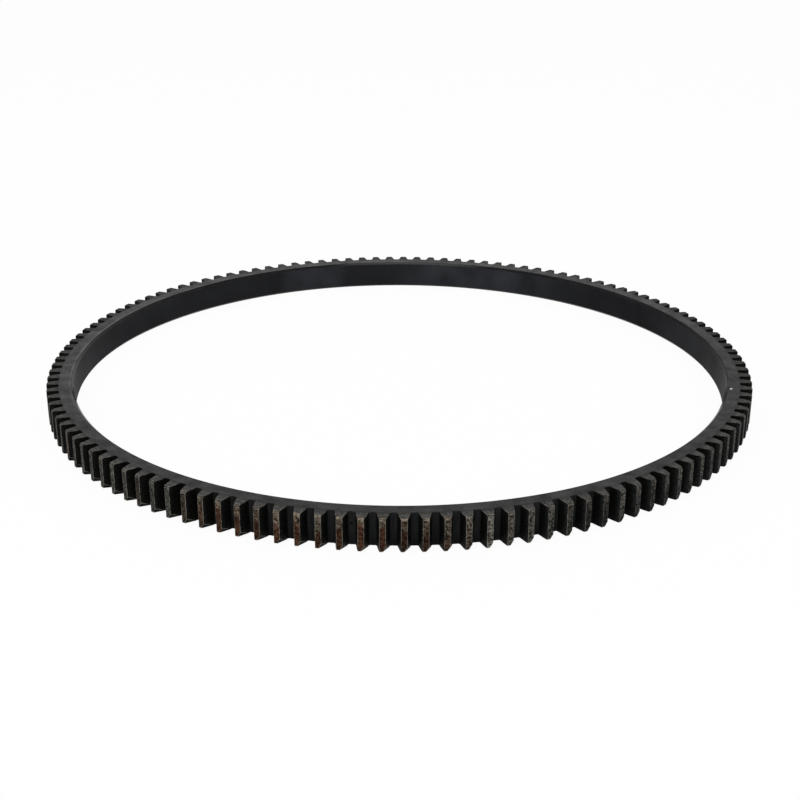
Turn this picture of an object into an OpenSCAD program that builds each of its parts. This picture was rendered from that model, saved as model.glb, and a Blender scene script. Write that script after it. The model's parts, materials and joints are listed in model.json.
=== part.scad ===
// Flywheel ring gear: one steel ring, turned, toothed all round, with a lead-in facet on each tooth.
// Millimetres. Z is the bore's axis, and the ring lies on the plane Z = 0 with its lead-in facets down.
// A tooth space is centred on +X.

/* [Teeth] */
// Number of teeth
teeth = 127; // [60:1:180]
// Module of the teeth: pitch diameter over the number of teeth
tooth_module = 3.175; // [2.5:0.025:5]
// Pressure angle of the involute flanks, in degrees
pressure_angle = 14.5; // [14.5:0.5:22]
// Height of a tooth above the pitch circle
addendum = 3.175; // [2:0.025:4]
// Depth of a tooth space below the pitch circle
dedendum = 3.67; // [2.5:0.01:5]
// How much thinner than half a pitch each tooth is at the pitch circle
tooth_thinning = 0.3; // [0:0.05:0.8]
// Fillet radius in the corners of a tooth space
root_fillet = 0.8; // [0.3:0.05:1.2]

/* [Ring] */
// Thickness of the rim, from the bottom of a tooth space to the bore
rim_thickness = 8.44; // [5:0.02:20]
// Width of the ring along its axis
face_width = 17.5; // [10:0.5:30]
// Chamfer on both edges of the bore
bore_chamfer = 1.3; // [0.4:0.1:2.5]
// Chamfer on the upper edge of the tooth tips
upper_tip_chamfer = 0.8; // [0.2:0.1:1.5]
// Chamfer on the lower edge of the tooth tips
lower_tip_chamfer = 0.5; // [0.2:0.1:1.5]

/* [Lead-in] */
// Height of the lead-in facet on the edge of the tooth tip
lead_height = 2.8; // [1:0.1:5]
// Width of the lead-in facet across the tooth tip
lead_width = 1.7; // [0.5:0.1:2.2]
// Where the lead-in facet runs out on the flank, above the bottom of the tooth space
lead_end = 1.4; // [1.2:0.1:4]

/* [Hidden] */
// Straight pieces in each flank and in each root fillet
flank_steps = 3;
fillet_steps = 2;
// How far a cutting shape stands out of the metal
overrun = 1;
$fn = 180;

pitch_angle = 360 / teeth;
pitch_r = teeth * tooth_module / 2;
base_r = pitch_r * cos(pressure_angle);
tip_r = pitch_r + addendum;
root_r = pitch_r - dedendum;
bore_r = root_r - rim_thickness;

// Thickness of a tooth along the pitch circle, and half the angle that it spans there
tooth_thickness = PI * tooth_module / 2 - tooth_thinning;
half_tooth_at_pitch = tooth_thickness / pitch_r * 90 / PI;

// Angle between an involute flank and the radius through a point of it
function flank_slope(r) = acos(min(1, base_r / r));

// Involute function of an angle, in degrees
function involute(a) = tan(a) * 180 / PI - a;

// Half the angle that a tooth, and a tooth space, spans at a radius
function half_tooth(r) = half_tooth_at_pitch + involute(pressure_angle) - involute(flank_slope(r));
function half_space(r) = pitch_angle / 2 - half_tooth(r);

// A point on the left side of the tooth space that lies along +X
function space_edge(r) = [r * cos(half_space(r)), r * sin(half_space(r))];

// The root fillet: its lean from the space's middle line, its top and its centre
fillet_lean = half_space(root_r) + flank_slope(root_r + root_fillet);
fillet_top_r = root_r + root_fillet * (1 - sin(fillet_lean));
fillet_x = root_r + root_fillet;
fillet_y = space_edge(fillet_top_r)[1] - root_fillet * cos(fillet_lean);

// Left side of a tooth space, from outside the tip to the bottom
flank_points = [
    for (i = [0 : flank_steps])
        let (outer_r = tip_r + overrun)
        space_edge(outer_r + (fillet_top_r - outer_r) * i / flank_steps)
];
fillet_points = [
    for (i = [1 : fillet_steps])
        let (a = 90 - fillet_lean + (90 + fillet_lean) * i / fillet_steps)
        [fillet_x + root_fillet * cos(a), fillet_y + root_fillet * sin(a)]
];
left_side = concat(flank_points, fillet_points);

// Points in the reverse order on the other side of the X axis
function mirrored(points) = [for (i = [len(points) - 1 : -1 : 0]) [points[i][0], -points[i][1]]];

// The turned blank, with its true bore and its four chamfered edges
module blank() {
    rotate_extrude()
        polygon([
            [bore_r, bore_chamfer],
            [bore_r + bore_chamfer, 0],
            [tip_r - lower_tip_chamfer, 0],
            [tip_r, lower_tip_chamfer],
            [tip_r, face_width - upper_tip_chamfer],
            [tip_r - upper_tip_chamfer, face_width],
            [bore_r + bore_chamfer, face_width],
            [bore_r, face_width - bore_chamfer]
        ]);
}

// What the hob takes out between two teeth, along +X
module tooth_space() {
    translate([0, 0, -overrun])
        linear_extrude(face_width + 2 * overrun)
            polygon(concat(left_side, mirrored(left_side)));
}

// What the chamfering cutter takes off the lower end of the tooth beside the space along +X:
// a wedge that starts across the tip, runs out on the flank and stays clear of the next tooth
module lead_in_cut() {
    end_r = root_r + lead_end;
    reach = tip_r - end_r;
    end_y = space_edge(end_r)[1];
    tip_y = space_edge(tip_r)[1];
    lean = atan((tip_y + lead_width - end_y) / reach);
    rise = lead_height / (lead_width * cos(lean));
    side = (lead_width / 2 + end_y) * cos(lean);
    translate([end_r, -end_y, 0])
        rotate([90, 0, 90 - lean])
            linear_extrude(reach / cos(lean) + overrun)
                polygon([[-overrun / rise, -overrun], [side, -overrun], [side, side * rise]]);
}

module ring_gear() {
    color("#3c3c3c")
        difference() {
            blank();
            for (i = [0 : teeth - 1])
                rotate(i * pitch_angle)
                    tooth_space();
            for (i = [0 : teeth - 1])
                rotate(i * pitch_angle)
                    lead_in_cut();
        }
}

ring_gear();
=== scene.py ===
"""Looks of a loose flywheel ring gear: one toothed steel ring, blackened by its heat treatment."""
import json
import math

import bpy
from mathutils import Matrix, Vector


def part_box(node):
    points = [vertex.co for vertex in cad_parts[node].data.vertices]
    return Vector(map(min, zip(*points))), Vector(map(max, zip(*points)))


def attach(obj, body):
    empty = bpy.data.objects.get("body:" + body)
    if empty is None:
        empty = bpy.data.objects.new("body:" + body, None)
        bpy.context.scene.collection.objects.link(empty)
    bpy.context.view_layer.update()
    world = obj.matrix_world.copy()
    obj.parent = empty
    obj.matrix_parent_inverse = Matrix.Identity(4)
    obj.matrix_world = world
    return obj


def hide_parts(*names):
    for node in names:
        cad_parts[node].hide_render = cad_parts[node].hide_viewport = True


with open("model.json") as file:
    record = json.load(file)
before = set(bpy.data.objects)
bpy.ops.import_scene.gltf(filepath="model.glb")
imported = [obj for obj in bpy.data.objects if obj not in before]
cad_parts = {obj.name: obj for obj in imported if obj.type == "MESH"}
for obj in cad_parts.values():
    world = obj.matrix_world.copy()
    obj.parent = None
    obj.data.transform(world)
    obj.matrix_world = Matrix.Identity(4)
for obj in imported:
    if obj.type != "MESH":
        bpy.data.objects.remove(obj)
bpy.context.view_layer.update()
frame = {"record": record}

# Sizes of the ring, in millimetres: the width and the bore come from the frame
MM = 0.001
FACE_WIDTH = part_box("ring_gear")[1].z / MM
BORE_R = next(m for m in frame["record"]["mounts"] if m["name"] == "bore")["dims"]["r_mm"]
BORE_CHAMFER = 1.3
TEETH = 127
TOOTH_MODULE = 3.175
PRESSURE_ANGLE = math.radians(14.5)
ADDENDUM = 3.175
DEDENDUM = 3.67
TOOTH_THINNING = 0.3
ROOT_FILLET = 0.8
UPPER_TIP_CHAMFER = 0.8
LOWER_TIP_CHAMFER = 0.5
LEAD_HEIGHT = 2.8
LEAD_WIDTH = 1.7
LEAD_END = 1.4
EDGE_BREAK = 0.12

# Radii and angles that follow from them
PITCH = 2 * math.pi / TEETH
PITCH_R = TEETH * TOOTH_MODULE / 2
BASE_R = PITCH_R * math.cos(PRESSURE_ANGLE)
TIP_R = PITCH_R + ADDENDUM
ROOT_R = PITCH_R - DEDENDUM
LEAD_END_R = ROOT_R + LEAD_END

# How near a vertex lies to a named radius or height to count as on it
NEAR = 0.01

# How far a face's normal points along an axis to face that way, or only to slope that way
FACING = 0.9
SLOPING = 0.6

# Edges that turn by more than this are sharp: they are broken, and the shading stops there
SHARP = math.radians(28)
EDGE_SEGMENTS = 2
FILLET_SEGMENTS = 4

# Arcs of the ring that look different, by their middle and their reach to either side, in degrees.
# Tooth lands: brown from the heat, darker on one arc, and strongly speckled
TINT = (259, 23)
DARKER_LANDS = (310, 24)
SPECKLED = (296, 48)
# Paler tip chamfers, flanks, roots and edges of the teeth; on flanks and edges the paleness is partly
# painted light
RUBBED = (265, 18)
PALE_FLANKS = (313, 32)
PALE_ROOTS = (272, 36)
PALE_EDGES = (256, 52)
# End faces: teeth paled by handling, a darker stretch of painted shade, scuffs beside the bore and a dark
# line of painted shade beside it.
# The bore's chamfers are dull where the dark line is
HANDLED = (270, 110)
FRONT_SHADE = (286, 112)
SCUFFED = (140, 75)
SHADE_LINE = (6, 30)
# Wall of the bore: two pale smudges
WIDE_SMUDGE = (72, 20)
SMALL_SMUDGE = (109, 8)

# Where the end faces change, in millimetres from the axis: the scuffs and the painted dark line beside the
# bore, and how far from the root circle the teeth take on their painted shade and their handled paleness
SCUFF_R = 191.2
SCUFF_FADE = 1.5
LINE_R = 191.4
LINE_FADE = 0.3
TEETH_FADE = 1
HANDLED_FADE = 3

# Single marks: a nick of bare steel with a painted glint and the painted shadow of its dent in the upper
# face, by radius and angle, and a pit in a root by angle and height
NICK_AND_GLINT = (192.9, math.radians(346.2))
NICK_SHADOW = (192.0, math.radians(346.6))
ROOT_PIT = (math.radians(263.54), 11.2)

# The brown on the tooth lands: the least and most of the height that it reaches, how far its upper edge
# waves and fades, and the chances at which a tooth off the arc starts to take some and has its share
BROWN_TOP = (0.55, 0.95)
BROWN_WAVE = 0.2
BROWN_FADE = 0.05
STRAY_CHANCE = (0.93, 0.96)
STRAY_SHARE = 0.4

# Darkening: its share on the lands above the brown's upper edge, and the heights in the roots where it
# starts and is full
DARKENING_ABOVE = 0.45
ROOT_DARKENING = (8, 2)

# How much rubbed wear and painted light the flanks and edges keep off their paler arcs, and the radius
# where a flank would take it all
FLANK_RUB_AND_LIGHT = 0.3
EDGE_RUB_AND_HIGHLIGHT = 0.25
FLANK_RUB_AND_LIGHT_R = TIP_R + 1

# Floor in metres, the share of it that is plain white to the eye, and the strength of the studio's light
FLOOR_SIZE = 12
FLOOR_GLOW = 0.94
STUDIO_LIGHT = 0.7
WHITE = (1, 1, 1, 1)

# The camera, fitted to the photograph's circles in its 800 x 800 frame
FRAME_PX = 800
VIEW_FOCAL_PX = 1411.3
VIEW_ELEVATION = math.radians(22.958)
VIEW_DISTANCE = 849.8
VIEW_TARGET = (0.36, 0.0, -9.37)
VIEW_ROLL = 0.00243
SENSOR_MM = 36


def involute(angle):
    """Involute function of an angle."""
    return math.tan(angle) - angle


def flank_slope(r):
    """Angle between an involute flank and the radius through a point of it."""
    return math.acos(min(1.0, BASE_R / r))


def half_tooth(r):
    """Half the angle that a tooth spans at a radius."""
    thickness = math.pi * TOOTH_MODULE / 2 - TOOTH_THINNING
    return thickness / PITCH_R / 2 + involute(PRESSURE_ANGLE) - involute(flank_slope(r))


def polar(r, angle, z):
    """A point at a radius, angle and height in millimetres, as metres."""
    return Vector((r * math.cos(angle), r * math.sin(angle), z)) * MM


def radius(vertex):
    """Distance of a vertex from the bore's axis, in millimetres."""
    return math.hypot(vertex.co.x, vertex.co.y) / MM


def near(value, target):
    """True where a length in millimetres is the one named."""
    return abs(value - target) < NEAR


# Modelling in edit mode


def start_piece(name):
    """A new mesh object with nothing in it, in edit mode."""
    bpy.ops.object.select_all(action="DESELECT")
    bpy.ops.mesh.primitive_plane_add(size=MM)
    piece = bpy.context.object
    piece.name = name
    piece.data.name = name
    bpy.ops.object.mode_set(mode="EDIT")
    bpy.ops.mesh.select_all(action="SELECT")
    bpy.ops.mesh.delete(type="VERT")
    return piece


def add_point(place):
    """One new vertex, selected alone: a small plane merged at its middle."""
    bpy.ops.mesh.select_all(action="DESELECT")
    bpy.ops.mesh.primitive_plane_add(size=MM, location=place)
    bpy.ops.mesh.merge(type="CENTER")


def select(piece, kind, test):
    """Selects the vertices, edges or faces that pass a test on their vertices."""
    bpy.ops.mesh.select_mode(type=kind)
    bpy.ops.mesh.select_all(action="DESELECT")
    bpy.ops.object.mode_set(mode="OBJECT")
    mesh = piece.data
    parts = {"VERT": mesh.vertices, "EDGE": mesh.edges, "FACE": mesh.polygons}[kind]
    for part in parts:
        corners = [part] if kind == "VERT" else [mesh.vertices[i] for i in part.vertices]
        part.select = test(corners)
    bpy.ops.object.mode_set(mode="EDIT")


def trace(points):
    """Draws an open wire through the points."""
    add_point(points[0])
    for here, there in zip(points, points[1:]):
        bpy.ops.mesh.extrude_vertices_move(TRANSFORM_OT_translate={"value": there - here})


def tooth_outline():
    """Points of one tooth's outline at the upper face, from space to space, with sharp root corners."""
    flank = [ROOT_R, LEAD_END_R, (LEAD_END_R + TIP_R) / 2, TIP_R]
    outward = [polar(r, -half_tooth(r), FACE_WIDTH) for r in flank]
    inward = [polar(r, half_tooth(r), FACE_WIDTH) for r in reversed(flank)]
    first = polar(ROOT_R, -PITCH / 2, FACE_WIDTH)
    last = polar(ROOT_R, PITCH / 2, FACE_WIDTH)
    return [first, *outward, *inward, last]


def round_root_corners(piece):
    """Rounds the two root corners of the outline to the hob's fillet."""
    corner_y = polar(ROOT_R, half_tooth(ROOT_R), 0).y / MM
    turn = math.pi / 2 + flank_slope(ROOT_R)
    select(piece, "VERT", lambda c: near(radius(c[0]), ROOT_R) and near(abs(c[0].co.y) / MM, corner_y))
    setback = ROOT_FILLET / math.tan(turn / 2)
    bpy.ops.mesh.bevel(offset=setback * MM, segments=FILLET_SEGMENTS, affect="VERTICES")


def count_edges(piece):
    """Number of edges that a piece has so far."""
    bpy.ops.object.mode_set(mode="OBJECT")
    edges = len(piece.data.edges)
    bpy.ops.object.mode_set(mode="EDIT")
    return edges


def chamfer_bore(piece, z):
    """Chamfers the edge of the bore at a height."""
    select(piece, "EDGE", lambda c: all(near(radius(v), BORE_R) and near(v.co.z / MM, z) for v in c))
    bpy.ops.mesh.bevel(offset=BORE_CHAMFER * MM, segments=1, affect="EDGES")


def slice_off(piece, place, outwards, test):
    """Cuts the chosen faces along a plane, takes off what lies outside it and closes the cut."""
    select(piece, "FACE", test)
    bpy.ops.mesh.bisect(
        plane_co=place,
        plane_no=outwards.normalized(),
        use_fill=True,
        clear_outer=True,
        threshold=NEAR * MM,
    )


def chamfer_tip(piece, z, size, up):
    """Cuts the chamfer across the tooth tip at its upper or lower end."""
    slice_off(piece, polar(TIP_R - size, 0, z), Vector((1, 0, up)), lambda c: True)


def cut_lead_in(piece):
    """Cuts the lead-in facet off the lower right corner of the tooth."""
    flank_end = polar(LEAD_END_R, half_tooth(LEAD_END_R), 0)
    tip_corner = polar(TIP_R, half_tooth(TIP_R), 0)
    on_tip = tip_corner - Vector((0, LEAD_WIDTH, 0)) * MM
    on_edge = tip_corner + Vector((0, 0, LEAD_HEIGHT)) * MM
    outwards = (on_edge - flank_end).cross(on_tip - flank_end)
    outwards *= math.copysign(1, outwards.dot(tip_corner - flank_end))
    slice_off(piece, flank_end, outwards, lambda c: any(radius(v) > LEAD_END_R + NEAR for v in c))


def on_join(vertex):
    """True where a vertex lies on one of the two planes where the next teeth join."""
    turned = abs(math.atan2(vertex.co.y, vertex.co.x))
    return near(turned * ROOT_R, PITCH / 2 * ROOT_R)


def model_tooth():
    """One tooth with its share of the rim, open at the two planes where the next ones join."""
    tooth = start_piece("toothed_ring")
    trace(tooth_outline())
    round_root_corners(tooth)
    steps = count_edges(tooth)
    add_point(polar(BORE_R, -PITCH / 2, FACE_WIDTH))
    bpy.ops.mesh.spin(steps=steps, angle=PITCH, center=(0, 0, 0), axis=(0, 0, -1))
    bpy.ops.mesh.select_all(action="SELECT")
    bpy.ops.mesh.bridge_edge_loops()
    bpy.ops.mesh.select_all(action="SELECT")
    bpy.ops.mesh.extrude_region_move(TRANSFORM_OT_translate={"value": (0, 0, -FACE_WIDTH * MM)})
    bpy.ops.mesh.select_all(action="SELECT")
    bpy.ops.mesh.normals_make_consistent(inside=False)
    chamfer_bore(tooth, 0)
    chamfer_bore(tooth, FACE_WIDTH)
    chamfer_tip(tooth, FACE_WIDTH, UPPER_TIP_CHAMFER, 1)
    chamfer_tip(tooth, 0, LOWER_TIP_CHAMFER, -1)
    cut_lead_in(tooth)
    select(tooth, "FACE", lambda c: all(on_join(v) for v in c))
    bpy.ops.mesh.delete(type="ONLY_FACE")
    bpy.ops.object.mode_set(mode="OBJECT")
    return tooth


def assign_finishes(tooth, finishes):
    """Gives each surface of the tooth the finish that its machining left."""
    order = list(finishes)
    for material in finishes.values():
        tooth.data.materials.append(material)
    for face in tooth.data.polygons:
        r = math.hypot(face.center.x, face.center.y) / MM
        if abs(face.normal.z) > FACING:
            finish = "turned"
        elif r < BORE_R + NEAR:
            finish = "bored"
        elif r < BORE_R + BORE_CHAMFER:
            finish = "bore chamfer"
        elif r > LEAD_END_R and face.normal.x > FACING:
            finish = "land"
        elif r > LEAD_END_R and abs(face.normal.z) > SLOPING:
            finish = "tip chamfer"
        elif r < ROOT_R + ROOT_FILLET / 2:
            finish = "root"
        else:
            finish = "flank"
        face.material_index = order.index(finish)


def finish_ring(tooth, edge_finish):
    """Copies the tooth all round, joins the copies, breaks the sharp edges and turns a space to +X."""
    bpy.ops.object.select_all(action="DESELECT")
    bpy.ops.object.empty_add()
    step = bpy.context.object
    step.rotation_euler = (0, 0, PITCH)
    bpy.context.view_layer.update()
    bpy.context.view_layer.objects.active = tooth
    tooth.select_set(True)
    teeth = tooth.modifiers.new("teeth", "ARRAY")
    teeth.count = TEETH
    teeth.use_relative_offset = False
    teeth.use_object_offset = True
    teeth.offset_object = step
    teeth.use_merge_vertices = True
    teeth.use_merge_vertices_cap = True
    teeth.merge_threshold = NEAR * MM
    bpy.ops.object.modifier_apply(modifier=teeth.name)
    bpy.data.objects.remove(step)
    breaks = tooth.modifiers.new("broken edges", "BEVEL")
    breaks.width = EDGE_BREAK * MM
    breaks.segments = EDGE_SEGMENTS
    breaks.limit_method = "ANGLE"
    breaks.angle_limit = SHARP
    breaks.harden_normals = True
    breaks.material = edge_finish
    bpy.ops.object.shade_smooth_by_angle(angle=SHARP)
    bpy.ops.object.modifier_apply(modifier=breaks.name)
    bpy.ops.object.mode_set(mode="EDIT")
    bpy.ops.mesh.select_all(action="SELECT")
    bpy.ops.transform.rotate(value=-PITCH / 2, orient_axis="Z", center_override=(0, 0, 0))
    bpy.ops.object.mode_set(mode="OBJECT")


# Materials
# Real oxide scale and tool marks are finer than a few tenths of a millimetre, too fine to show in the
# render, so speckle, grain, rounds, streaks and pits are drawn coarser here, at 1.0 to 1.3 mm

# Sockets of a colour Mix node
FACTOR, FIRST, SECOND, MIXED = 0, 6, 7, 2


def linear(hex_colour):
    """An sRGB hex colour as linear light."""
    channels = [int(hex_colour[i:i + 2], 16) / 255 for i in (1, 3, 5)]
    return (*[c / 12.92 if c <= 0.04045 else ((c + 0.055) / 1.055) ** 2.4 for c in channels], 1)


def per_mm(size):
    """Texture scale at which a pattern's features have a size in millimetres."""
    return 1 / (size * MM)


def add(tree, kind, settings=None, links=None):
    """Adds a node, with its properties, socket values and links."""
    made = tree.nodes.new(kind)
    for key, value in (settings or {}).items():
        if isinstance(key, str) and hasattr(made, key):
            setattr(made, key, value)
        else:
            made.inputs[key].default_value = value
    for key, socket in (links or {}).items():
        tree.links.new(socket, made.inputs[key])
    return made


def start_finish(name, specular):
    """A new material, with its shader's reflection set and the object's own coordinates."""
    material = bpy.data.materials.new(name)
    material.use_nodes = True
    tree = material.node_tree
    shader = tree.nodes["Principled BSDF"]
    shader.inputs["Specular IOR Level"].default_value = specular
    place = add(tree, "ShaderNodeTexCoord").outputs["Object"]
    return material, tree, shader, place


def patches(tree, place, size, spread, middle=0.5, detail=3):
    """Patches of a size in millimetres, from 0 to 1.

    A lower middle gives more of them, and a wider spread softer ones.
    """
    noise = add(tree, "ShaderNodeTexNoise", {"Scale": per_mm(size), "Detail": detail}, {"Vector": place})
    return add(
        tree,
        "ShaderNodeMapRange",
        {"From Min": middle - spread, "From Max": middle + spread},
        {"Value": noise.outputs["Fac"]},
    ).outputs[0]


def roughen(tree, shader, amount, rough, smooth, grain, depth):
    """Roughness that falls as one pattern rises, and relief of a depth in millimetres from another."""
    roughness = add(tree, "ShaderNodeMapRange", {"To Min": rough, "To Max": smooth}, {"Value": amount})
    relief = add(tree, "ShaderNodeBump", {"Distance": depth * MM}, {"Height": grain})
    tree.links.new(roughness.outputs[0], shader.inputs["Roughness"])
    tree.links.new(relief.outputs[0], shader.inputs["Normal"])


def off_axis(tree, place):
    """The way from the bore's axis straight out to a place."""
    flat = add(tree, "ShaderNodeVectorMath", {"operation": "MULTIPLY", 1: (1, 1, 0)}, {0: place})
    return flat.outputs[0]


def direction_out(tree, place):
    """Direction straight out from the bore's axis."""
    way = off_axis(tree, place)
    return add(tree, "ShaderNodeVectorMath", {"operation": "NORMALIZE"}, {0: way}).outputs[0]


def distance_out(tree, place):
    """Distance from the bore's axis."""
    way = off_axis(tree, place)
    return add(tree, "ShaderNodeVectorMath", {"operation": "LENGTH"}, {0: way}).outputs["Value"]


def along_cut(tree, place, stretch):
    """Coordinates in which a pattern is drawn out along a turning tool's path."""
    round_path = add(
        tree,
        "ShaderNodeVectorMath",
        {"operation": "SCALE", "Scale": BORE_R * MM / stretch},
        {0: direction_out(tree, place)},
    )
    across = add(tree, "ShaderNodeCombineXYZ", {}, {"Z": distance_out(tree, place)})
    return add(
        tree,
        "ShaderNodeVectorMath",
        {"operation": "ADD"},
        {0: round_path.outputs[0], 1: across.outputs[0]},
    ).outputs[0]


def between(tree, place, start, end):
    """0 at one distance from the axis in millimetres and 1 at another."""
    return add(
        tree,
        "ShaderNodeMapRange",
        {"interpolation_type": "SMOOTHSTEP", "From Min": start * MM, "From Max": end * MM},
        {"Value": distance_out(tree, place)},
    ).outputs[0]


def on_arc(tree, place, middle, reach):
    """1 over the middle half of an arc given in degrees, falling to 0 at its reach to either side."""
    cosine = add(
        tree,
        "ShaderNodeVectorMath",
        {"operation": "DOT_PRODUCT", 1: polar(1 / MM, math.radians(middle), 0)},
        {0: direction_out(tree, place)},
    )
    end = math.cos(math.radians(reach))
    full = math.cos(math.radians(reach / 2))
    return add(
        tree,
        "ShaderNodeMapRange",
        {"interpolation_type": "SMOOTHSTEP", "From Min": end, "From Max": full},
        {"Value": cosine.outputs["Value"]},
    ).outputs[0]


def spot(tree, place, middle, reach):
    """A soft spot round a point, 1 at its middle and 0 at a reach in millimetres."""
    away = add(tree, "ShaderNodeVectorMath", {"operation": "DISTANCE", 1: middle}, {0: place})
    return add(
        tree,
        "ShaderNodeMapRange",
        {"From Min": reach * MM, "From Max": reach * MM / 2},
        {"Value": away.outputs["Value"]},
    ).outputs[0]


def tooth_chances(tree, place, offset):
    """Three chances from 0 to 1 for each tooth, or with half a pitch of offset for each space."""
    axes = add(tree, "ShaderNodeSeparateXYZ", {}, {0: place})
    angle = add(
        tree,
        "ShaderNodeMath",
        {"operation": "ARCTAN2"},
        {0: axes.outputs["Y"], 1: axes.outputs["X"]},
    )
    turns = add(
        tree,
        "ShaderNodeMath",
        {"operation": "MULTIPLY_ADD", 1: 1 / PITCH, 2: offset},
        {0: angle.outputs[0]},
    )
    whole = add(tree, "ShaderNodeMath", {"operation": "FLOOR"}, {0: turns.outputs[0]})
    tooth = add(tree, "ShaderNodeMath", {"operation": "FLOORED_MODULO", 1: TEETH}, {0: whole.outputs[0]})
    chance = add(tree, "ShaderNodeTexWhiteNoise", {"noise_dimensions": "1D"}, {"W": tooth.outputs[0]})
    return add(tree, "ShaderNodeSeparateXYZ", {}, {0: chance.outputs["Color"]}).outputs


def turned_face():
    """Oxide scale on the turned end faces: cloudy dark grey in faint rounds, paler on the handled teeth.

    Beside the bore it is scuffed on one arc and has a broken dark line of painted shade on another, and
    there is one nick of bare steel with a painted glint, beside the painted shadow of its dent.
    """
    material, tree, shader, place = start_finish("oxide scale on turned steel", specular=0.05)
    rounds_share = 0.35
    grain_share = 0.35
    clouds = patches(tree, place, size=9, spread=0.2, detail=5)
    rounds = patches(tree, along_cut(tree, place, stretch=9), size=1.1, spread=0.2)
    grain = patches(tree, place, size=1.3, spread=0.2, detail=4)
    cloudy = add(
        tree,
        "ShaderNodeMix",
        {"data_type": "RGBA", FIRST: linear("#363636"), SECOND: linear("#585858")},
        {FACTOR: clouds},
    )
    cut = add(
        tree,
        "ShaderNodeMix",
        {"data_type": "RGBA", "blend_type": "MULTIPLY", FACTOR: rounds_share},
        {FIRST: cloudy.outputs[MIXED], SECOND: rounds},
    )
    grained = add(
        tree,
        "ShaderNodeMix",
        {"data_type": "RGBA", "blend_type": "MULTIPLY", FACTOR: grain_share},
        {FIRST: cut.outputs[MIXED], SECOND: grain},
    )
    # Painted shade: the front half of the end faces is darker
    front_shaded = add(
        tree,
        "ShaderNodeMix",
        {"data_type": "RGBA", "blend_type": "MULTIPLY", SECOND: linear("#d0d0d0")},
        {FACTOR: on_arc(tree, place, *FRONT_SHADE), FIRST: grained.outputs[MIXED]},
    )
    scuffing = patches(tree, along_cut(tree, place, stretch=8), size=2.5, spread=0.15, middle=0.47)
    bore_side = add(
        tree,
        "ShaderNodeMath",
        {"operation": "MULTIPLY"},
        {0: between(tree, place, SCUFF_R + SCUFF_FADE, SCUFF_R), 1: on_arc(tree, place, *SCUFFED)},
    )
    scuffs = add(
        tree,
        "ShaderNodeMath",
        {"operation": "MULTIPLY"},
        {0: bore_side.outputs[0], 1: scuffing},
    )
    scuffed = add(
        tree,
        "ShaderNodeMix",
        {"data_type": "RGBA", SECOND: linear("#626262")},
        {FACTOR: scuffs.outputs[0], FIRST: front_shaded.outputs[MIXED]},
    )
    # Painted shade: a broken dark line along the bore's edge, with no groove in the mesh
    breaks = patches(tree, along_cut(tree, place, stretch=6), size=2, spread=0.1, middle=0.45)
    bore_line = add(
        tree,
        "ShaderNodeMath",
        {"operation": "MULTIPLY"},
        {0: between(tree, place, LINE_R + LINE_FADE, LINE_R), 1: on_arc(tree, place, *SHADE_LINE)},
    )
    broken_line = add(
        tree,
        "ShaderNodeMath",
        {"operation": "MULTIPLY"},
        {0: bore_line.outputs[0], 1: breaks},
    )
    lined = add(
        tree,
        "ShaderNodeMix",
        {"data_type": "RGBA", SECOND: linear("#040404")},
        {FACTOR: broken_line.outputs[0], FIRST: scuffed.outputs[MIXED]},
    )
    # Painted shade: the tooth tops are darker, except on the handled arc where the speckle takes over
    on_teeth = between(tree, place, ROOT_R - TEETH_FADE, ROOT_R + TEETH_FADE)
    teeth_shaded = add(
        tree,
        "ShaderNodeMix",
        {"data_type": "RGBA", "blend_type": "MULTIPLY", SECOND: linear("#9a9a9a")},
        {FACTOR: on_teeth, FIRST: lined.outputs[MIXED]},
    )
    up_teeth = between(tree, place, ROOT_R - TEETH_FADE, ROOT_R + HANDLED_FADE)
    handled = add(
        tree,
        "ShaderNodeMath",
        {"operation": "MULTIPLY"},
        {0: up_teeth, 1: on_arc(tree, place, *HANDLED)},
    )
    speckled = add(
        tree,
        "ShaderNodeMix",
        {"data_type": "RGBA", FIRST: linear("#2a2928"), SECOND: linear("#4c4b48")},
        {FACTOR: patches(tree, place, size=1.2, spread=0.14, detail=2)},
    )
    face = add(
        tree,
        "ShaderNodeMix",
        {"data_type": "RGBA"},
        {FACTOR: handled.outputs[0], FIRST: teeth_shaded.outputs[MIXED], SECOND: speckled.outputs[MIXED]},
    )
    # Painted shadow of the nick's dent, then the nick itself: bare steel painted as bright as a glint
    nick_shadow = add(
        tree,
        "ShaderNodeMix",
        {"data_type": "RGBA", SECOND: linear("#050505")},
        {FACTOR: spot(tree, place, polar(*NICK_SHADOW, FACE_WIDTH), reach=1.0), FIRST: face.outputs[MIXED]},
    )
    nick_and_glint = add(
        tree,
        "ShaderNodeMix",
        {"data_type": "RGBA", SECOND: linear("#f2f2f0")},
        {FACTOR: spot(tree, place, polar(*NICK_AND_GLINT, FACE_WIDTH), reach=0.9), FIRST: nick_shadow.outputs[MIXED]},
    )
    tree.links.new(nick_and_glint.outputs[MIXED], shader.inputs["Base Color"])
    roughen(tree, shader, clouds, rough=0.52, smooth=0.42, grain=grain, depth=0.03)
    return material


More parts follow.
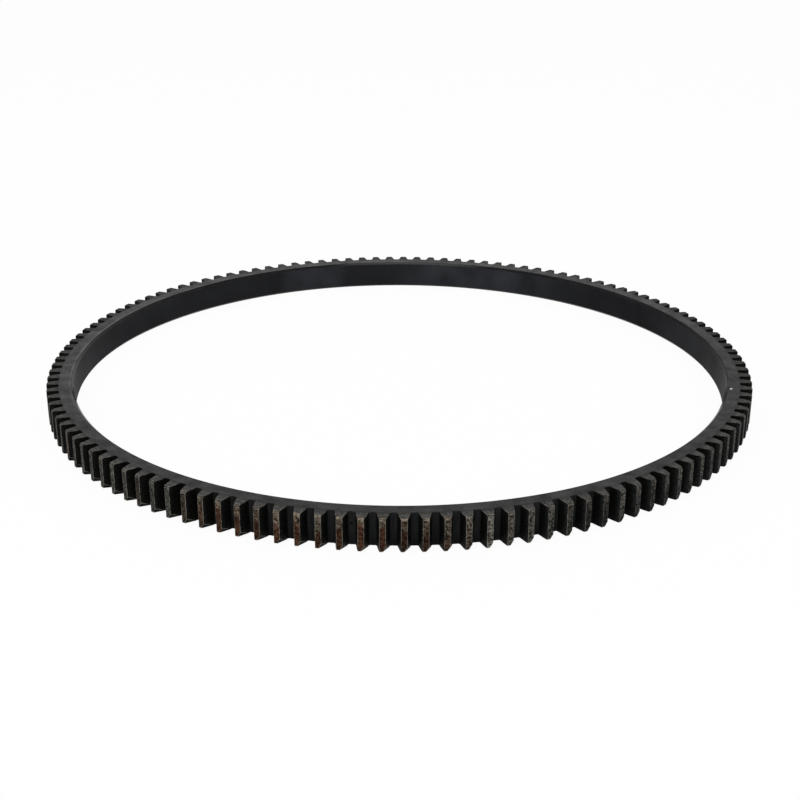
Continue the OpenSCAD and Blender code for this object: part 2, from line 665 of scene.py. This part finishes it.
def bored_wall():
    """Oxide scale on the bored wall: a smooth bluish black, with soft pale smudges."""
    material, tree, shader, place = start_finish("oxide scale on bored steel", specular=0.06)
    clouds = patches(tree, place, size=30, spread=0.25, detail=4)
    grain = patches(tree, place, size=1.2, spread=0.3)
    cloudy = add(
        tree,
        "ShaderNodeMix",
        {"data_type": "RGBA", FIRST: linear("#141416"), SECOND: linear("#202124")},
        {FACTOR: clouds},
    )
    arcs = add(
        tree,
        "ShaderNodeMath",
        {"operation": "MAXIMUM"},
        {0: on_arc(tree, place, *WIDE_SMUDGE), 1: on_arc(tree, place, *SMALL_SMUDGE)},
    )
    smudge = add(
        tree,
        "ShaderNodeMath",
        {"operation": "MULTIPLY"},
        {0: arcs.outputs[0], 1: patches(tree, place, size=18, spread=0.35)},
    )
    smudged = add(
        tree,
        "ShaderNodeMix",
        {"data_type": "RGBA", SECOND: linear("#333539")},
        {FACTOR: smudge.outputs[0], FIRST: cloudy.outputs[MIXED]},
    )
    tree.links.new(smudged.outputs[MIXED], shader.inputs["Base Color"])
    roughen(tree, shader, clouds, rough=0.66, smooth=0.56, grain=grain, depth=0.01)
    return material


def bore_chamfer():
    """The bore's turned chamfers: a tighter scale that catches the light above, and is dull on one arc."""
    bright = 0.1
    dull = 0.05
    material, tree, shader, place = start_finish("tight scale on turned chamfers", specular=bright)
    clouds = patches(tree, along_cut(tree, place, stretch=8), size=3, spread=0.2)
    cloudy = add(
        tree,
        "ShaderNodeMix",
        {"data_type": "RGBA", FIRST: linear("#0a0a0c"), SECOND: linear("#141418")},
        {FACTOR: clouds},
    )
    shine = add(
        tree,
        "ShaderNodeMapRange",
        {"To Min": bright, "To Max": dull},
        {"Value": on_arc(tree, place, *SHADE_LINE)},
    )
    tree.links.new(cloudy.outputs[MIXED], shader.inputs["Base Color"])
    tree.links.new(shine.outputs[0], shader.inputs["Specular IOR Level"])
    roughen(tree, shader, clouds, rough=0.2, smooth=0.13, grain=clouds, depth=0.003)
    return material


def hobbed_flank():
    """Quenched flanks: the blackest scale in the spaces, grey towards the tips, most on one arc, partly
    rubbed scale and partly painted light.
    """
    material, tree, shader, place = start_finish("quench scale on hobbed flanks", specular=0.03)
    speckle = patches(tree, place, size=1.3, spread=0.15)
    black = add(
        tree,
        "ShaderNodeMix",
        {"data_type": "RGBA", FIRST: linear("#080808"), SECOND: linear("#121210")},
        {FACTOR: speckle},
    )
    grey = add(
        tree,
        "ShaderNodeMix",
        {"data_type": "RGBA", FIRST: linear("#191a1c"), SECOND: linear("#323334")},
        {FACTOR: speckle},
    )
    reach = add(
        tree,
        "ShaderNodeMapRange",
        {"To Min": FLANK_RUB_AND_LIGHT},
        {"Value": on_arc(tree, place, *PALE_FLANKS)},
    )
    # Grey towards the tips: partly rubbed scale, partly painted light where the spaces open out
    wear_and_light = add(
        tree,
        "ShaderNodeMath",
        {"operation": "MULTIPLY"},
        {0: between(tree, place, PITCH_R, FLANK_RUB_AND_LIGHT_R), 1: reach.outputs[0]},
    )
    rubbed = add(
        tree,
        "ShaderNodeMix",
        {"data_type": "RGBA"},
        {FACTOR: wear_and_light.outputs[0], FIRST: black.outputs[MIXED], SECOND: grey.outputs[MIXED]},
    )
    tree.links.new(rubbed.outputs[MIXED], shader.inputs["Base Color"])
    roughen(tree, shader, speckle, rough=0.66, smooth=0.56, grain=speckle, depth=0.02)
    return material


def hobbed_root():
    """Bottoms of the tooth spaces: each its own shade, streaked along the cut and darker low down.

    They are a little paler than the flanks on one arc and blacker off it, and one has a pit.
    """
    drawn_out = (1, 1, 0.12)
    own_share = 0.6
    material, tree, shader, place = start_finish("quench scale on hobbed roots", specular=0.05)
    shade = tooth_chances(tree, place, offset=0.5)
    along = add(tree, "ShaderNodeMapping", {"Scale": drawn_out}, {"Vector": place})
    streaks = patches(tree, along.outputs[0], size=1.2, spread=0.2)
    streaked = add(
        tree,
        "ShaderNodeMix",
        {"data_type": "RGBA", FIRST: linear("#111212"), SECOND: linear("#252625")},
        {FACTOR: streaks},
    )
    tone = add(
        tree,
        "ShaderNodeMix",
        {"data_type": "RGBA", FIRST: linear("#262622"), SECOND: linear("#22242a")},
        {FACTOR: shade["Y"]},
    )
    part = add(tree, "ShaderNodeMath", {"operation": "MULTIPLY", 1: own_share}, {0: shade["X"]})
    shaded = add(
        tree,
        "ShaderNodeMix",
        {"data_type": "RGBA"},
        {FACTOR: part.outputs[0], FIRST: streaked.outputs[MIXED], SECOND: tone.outputs[MIXED]},
    )
    axes = add(tree, "ShaderNodeSeparateXYZ", {}, {0: place})
    low = add(
        tree,
        "ShaderNodeMapRange",
        {"From Min": ROOT_DARKENING[0] * MM, "From Max": ROOT_DARKENING[1] * MM},
        {"Value": axes.outputs["Z"]},
    )
    darkened_low = add(
        tree,
        "ShaderNodeMix",
        {"data_type": "RGBA", "blend_type": "MULTIPLY", SECOND: linear("#b0b0b4")},
        {FACTOR: low.outputs[0], FIRST: shaded.outputs[MIXED]},
    )
    blacker = add(
        tree,
        "ShaderNodeMapRange",
        {"To Min": 1.0, "To Max": 0.0},
        {"Value": on_arc(tree, place, *PALE_ROOTS)},
    )
    blackened = add(
        tree,
        "ShaderNodeMix",
        {"data_type": "RGBA", "blend_type": "MULTIPLY", SECOND: linear("#3a3a3a")},
        {FACTOR: blacker.outputs[0], FIRST: darkened_low.outputs[MIXED]},
    )
    pitted = add(
        tree,
        "ShaderNodeMix",
        {"data_type": "RGBA", SECOND: linear("#020202")},
        {
            FACTOR: spot(tree, place, polar(ROOT_R, *ROOT_PIT), reach=0.9),
            FIRST: blackened.outputs[MIXED],
        },
    )
    tree.links.new(pitted.outputs[MIXED], shader.inputs["Base Color"])
    roughen(tree, shader, streaks, rough=0.6, smooth=0.5, grain=streaks, depth=0.02)
    return material


def tooth_land():
    """Tooth lands: speckled scale with dark pits, each tooth its own shade.

    The heat left tan over brown on one arc and brown on a few stray teeth, and another arc is darker, most
    below the brown.
    """
    material, tree, shader, place = start_finish("speckled scale on tooth lands", specular=0.05)
    chance = tooth_chances(tree, place, offset=0)
    axes = add(tree, "ShaderNodeSeparateXYZ", {}, {0: place})
    speckle = patches(tree, place, size=1.25, spread=0.12, detail=2)
    blots = patches(tree, place, size=2.6, spread=0.15)
    calm = add(
        tree,
        "ShaderNodeMix",
        {"data_type": "RGBA", FIRST: linear("#2d2c29"), SECOND: linear("#595752")},
        {FACTOR: speckle},
    )
    strong = add(
        tree,
        "ShaderNodeMix",
        {"data_type": "RGBA", FIRST: linear("#201f1c"), SECOND: linear("#7a776f")},
        {FACTOR: speckle},
    )
    grey = add(
        tree,
        "ShaderNodeMix",
        {"data_type": "RGBA"},
        {
            FACTOR: on_arc(tree, place, *SPECKLED),
            FIRST: calm.outputs[MIXED],
            SECOND: strong.outputs[MIXED],
        },
    )
    tan = add(
        tree,
        "ShaderNodeMix",
        {"data_type": "RGBA", FIRST: linear("#34251a"), SECOND: linear("#8b7963")},
        {FACTOR: speckle},
    )
    brown = add(
        tree,
        "ShaderNodeMix",
        {"data_type": "RGBA", FIRST: linear("#27150c"), SECOND: linear("#573a28")},
        {FACTOR: speckle},
    )
    heated = add(
        tree,
        "ShaderNodeMath",
        {"operation": "MULTIPLY"},
        {0: on_arc(tree, place, *TINT), 1: patches(tree, place, size=9, spread=0.2, middle=0.4)},
    )
    upper = add(
        tree,
        "ShaderNodeMix",
        {"data_type": "RGBA"},
        {FACTOR: heated.outputs[0], FIRST: grey.outputs[MIXED], SECOND: tan.outputs[MIXED]},
    )
    height = add(
        tree,
        "ShaderNodeMath",
        {"operation": "DIVIDE", 1: FACE_WIDTH * MM},
        {0: axes.outputs["Z"]},
    )
    wavy = add(
        tree,
        "ShaderNodeMath",
        {"operation": "MULTIPLY_ADD", 1: BROWN_WAVE},
        {0: blots, 2: height.outputs[0]},
    )
    top = add(
        tree,
        "ShaderNodeMapRange",
        {"To Min": BROWN_TOP[0], "To Max": BROWN_TOP[1]},
        {"Value": chance["X"]},
    )
    below = add(
        tree,
        "ShaderNodeMath",
        {"operation": "SUBTRACT"},
        {0: top.outputs[0], 1: wavy.outputs[0]},
    )
    lower = add(
        tree,
        "ShaderNodeMapRange",
        {"From Min": -BROWN_FADE, "From Max": BROWN_FADE},
        {"Value": below.outputs[0]},
    )
    stray = add(
        tree,
        "ShaderNodeMapRange",
        {"From Min": STRAY_CHANCE[0], "From Max": STRAY_CHANCE[1], "To Max": STRAY_SHARE},
        {"Value": chance["Z"]},
    )
    reached = add(
        tree,
        "ShaderNodeMath",
        {"operation": "MAXIMUM"},
        {0: on_arc(tree, place, *TINT), 1: stray.outputs[0]},
    )
    tint = add(
        tree,
        "ShaderNodeMath",
        {"operation": "MULTIPLY"},
        {0: lower.outputs[0], 1: reached.outputs[0]},
    )
    coloured = add(
        tree,
        "ShaderNodeMix",
        {"data_type": "RGBA"},
        {FACTOR: tint.outputs[0], FIRST: upper.outputs[MIXED], SECOND: brown.outputs[MIXED]},
    )
    low = add(tree, "ShaderNodeMapRange", {"To Min": DARKENING_ABOVE}, {"Value": lower.outputs[0]})
    darkened_low = add(
        tree,
        "ShaderNodeMath",
        {"operation": "MULTIPLY"},
        {0: low.outputs[0], 1: on_arc(tree, place, *DARKER_LANDS)},
    )
    dark = add(
        tree,
        "ShaderNodeMix",
        {"data_type": "RGBA", "blend_type": "MULTIPLY", SECOND: linear("#94969c")},
        {FACTOR: darkened_low.outputs[0], FIRST: coloured.outputs[MIXED]},
    )
    toned = add(
        tree,
        "ShaderNodeMix",
        {"data_type": "RGBA", "blend_type": "MULTIPLY", SECOND: linear("#a8a6a2")},
        {FACTOR: chance["Y"], FIRST: dark.outputs[MIXED]},
    )
    pits = patches(tree, place, size=1.0, spread=0.03, middle=0.62, detail=2)
    pitted = add(
        tree,
        "ShaderNodeMix",
        {"data_type": "RGBA", SECOND: linear("#0e0c0b")},
        {FACTOR: pits, FIRST: toned.outputs[MIXED]},
    )
    tree.links.new(pitted.outputs[MIXED], shader.inputs["Base Color"])
    roughen(tree, shader, speckle, rough=0.66, smooth=0.54, grain=speckle, depth=0.03)
    return material


def tip_chamfer():
    """Chamfers across the tooth tips: scale rubbed thin, so paler, and palest and warmest on one arc."""
    material, tree, shader, place = start_finish("rubbed scale on tip chamfers", specular=0.08)
    speckle = patches(tree, place, size=1.25, spread=0.14, detail=2)
    grey = add(
        tree,
        "ShaderNodeMix",
        {"data_type": "RGBA", FIRST: linear("#1b1b19"), SECOND: linear("#52504b")},
        {FACTOR: speckle},
    )
    warm = add(
        tree,
        "ShaderNodeMix",
        {"data_type": "RGBA", FIRST: linear("#44372a"), SECOND: linear("#887d6e")},
        {FACTOR: speckle},
    )
    rubbed = add(
        tree,
        "ShaderNodeMix",
        {"data_type": "RGBA"},
        {
            FACTOR: on_arc(tree, place, *RUBBED),
            FIRST: grey.outputs[MIXED],
            SECOND: warm.outputs[MIXED],
        },
    )
    tree.links.new(rubbed.outputs[MIXED], shader.inputs["Base Color"])
    roughen(tree, shader, speckle, rough=0.6, smooth=0.5, grain=speckle, depth=0.02)
    return material


def worn_edge_and_highlight():
    """Broken edges: pale lines on the teeth, partly steel showing where handling rubbed them and partly
    painted highlight, most on one arc, and none at the bore.
    """
    material, tree, shader, place = start_finish("rubbed steel edge with painted highlight", specular=0.02)
    rubbed = patches(tree, place, size=2.2, spread=0.15)
    bare_and_highlight = add(
        tree,
        "ShaderNodeMix",
        {"data_type": "RGBA", FIRST: linear("#3e3c38"), SECOND: linear("#948e82")},
        {FACTOR: rubbed},
    )
    scaled = add(
        tree,
        "ShaderNodeMix",
        {"data_type": "RGBA", FIRST: linear("#0b0b0b"), SECOND: linear("#333231")},
        {FACTOR: rubbed},
    )
    reach = add(
        tree,
        "ShaderNodeMapRange",
        {"To Min": EDGE_RUB_AND_HIGHLIGHT},
        {"Value": on_arc(tree, place, *PALE_EDGES)},
    )
    # Pale edges: partly bare steel, partly painted highlight
    wear_and_light = add(
        tree,
        "ShaderNodeMath",
        {"operation": "MULTIPLY"},
        {0: between(tree, place, ROOT_R, PITCH_R), 1: reach.outputs[0]},
    )
    shade = add(
        tree,
        "ShaderNodeMix",
        {"data_type": "RGBA"},
        {FACTOR: wear_and_light.outputs[0], FIRST: scaled.outputs[MIXED], SECOND: bare_and_highlight.outputs[MIXED]},
    )
    tree.links.new(shade.outputs[MIXED], shader.inputs["Base Color"])
    roughen(tree, shader, rubbed, rough=0.6, smooth=0.42, grain=rubbed, depth=0.01)
    return material


def make_finishes():
    """The finishes of the ring's surfaces, by how each was made."""
    return {
        "turned": turned_face(),
        "bored": bored_wall(),
        "bore chamfer": bore_chamfer(),
        "flank": hobbed_flank(),
        "root": hobbed_root(),
        "land": tooth_land(),
        "tip chamfer": tip_chamfer(),
        "edge": worn_edge_and_highlight(),
    }


# Stage, light and camera


def shown_to_eye(tree):
    """1 for light on its way to the eye, straight, mirrored or through glass, and 0 for the rest."""
    path = add(tree, "ShaderNodeLightPath")
    seen = add(
        tree,
        "ShaderNodeMath",
        {"operation": "ADD"},
        {0: path.outputs["Is Camera Ray"], 1: path.outputs["Is Glossy Ray"]},
    )
    return add(
        tree,
        "ShaderNodeMath",
        {"operation": "ADD", "use_clamp": True},
        {0: seen.outputs[0], 1: path.outputs["Is Transmission Ray"]},
    ).outputs[0]


def make_floor():
    """A plain white floor that keeps the ring's shadow faintly."""
    bpy.ops.object.select_all(action="DESELECT")
    bpy.ops.mesh.primitive_plane_add(size=FLOOR_SIZE)
    floor = bpy.context.object
    floor.name = "floor"
    material = bpy.data.materials.new("white paper floor")
    material.use_nodes = True
    tree = material.node_tree
    tree.nodes.clear()
    share = add(
        tree,
        "ShaderNodeMath",
        {"operation": "MULTIPLY", 1: FLOOR_GLOW},
        {0: shown_to_eye(tree)},
    )
    paper = add(tree, "ShaderNodeBsdfDiffuse", {"Color": linear("#fafafa")})
    white = add(tree, "ShaderNodeEmission", {"Color": WHITE, "Strength": 1.0})
    mixed = add(
        tree,
        "ShaderNodeMixShader",
        {},
        {0: share.outputs[0], 1: paper.outputs[0], 2: white.outputs[0]},
    )
    add(tree, "ShaderNodeOutputMaterial", {}, {"Surface": mixed.outputs[0]})
    floor.data.materials.append(material)


def make_world(strength):
    """Even studio light, seen as white."""
    world = bpy.data.worlds.new("studio")
    bpy.context.scene.world = world
    world.use_nodes = True
    tree = world.node_tree
    tree.nodes.clear()
    level = add(
        tree,
        "ShaderNodeMapRange",
        {"To Min": strength, "To Max": 1.0},
        {"Value": shown_to_eye(tree)},
    )
    light = add(tree, "ShaderNodeBackground", {"Color": WHITE}, {"Strength": level.outputs[0]})
    add(tree, "ShaderNodeOutputWorld", {}, {"Surface": light.outputs[0]})


def add_softbox(name, place, width, height, power):
    """A softbox that faces the ring, placed and sized in metres, with its power in watts."""
    data = bpy.data.lights.new(name, "AREA")
    data.shape = "RECTANGLE"
    data.size = width
    data.size_y = height
    data.energy = power
    lamp = bpy.data.objects.new(name, data)
    lamp.location = place
    lamp.rotation_euler = (-Vector(place)).to_track_quat("-Z", "Y").to_euler()
    bpy.context.scene.collection.objects.link(lamp)


def make_camera():
    """The camera at the photograph's place."""
    data = bpy.data.cameras.new("camera")
    data.sensor_width = SENSOR_MM
    data.lens = SENSOR_MM * VIEW_FOCAL_PX / FRAME_PX
    camera = bpy.data.objects.new("camera", data)
    back = Vector((0, -math.cos(VIEW_ELEVATION), math.sin(VIEW_ELEVATION)))
    place = (Vector(VIEW_TARGET) + back * VIEW_DISTANCE) * MM
    tilt = Matrix.Rotation(math.pi / 2 - VIEW_ELEVATION, 4, "X") @ Matrix.Rotation(VIEW_ROLL, 4, "Z")
    camera.matrix_world = Matrix.Translation(place) @ tilt
    bpy.context.scene.collection.objects.link(camera)
    bpy.context.scene.camera = camera


finishes = make_finishes()
ring = model_tooth()
assign_finishes(ring, finishes)
finish_ring(ring, list(finishes).index("edge"))
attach(ring, "root")
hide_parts("ring_gear")

make_floor()
make_world(STUDIO_LIGHT)
add_softbox("overhead softbox", place=(-0.06, -0.4, 1.6), width=0.8, height=0.4, power=6)
add_softbox("front softbox", place=(-0.3, -1.6, 0.9), width=1.0, height=1.0, power=4)
make_camera()
bpy.context.scene.view_settings.view_transform = "Standard"
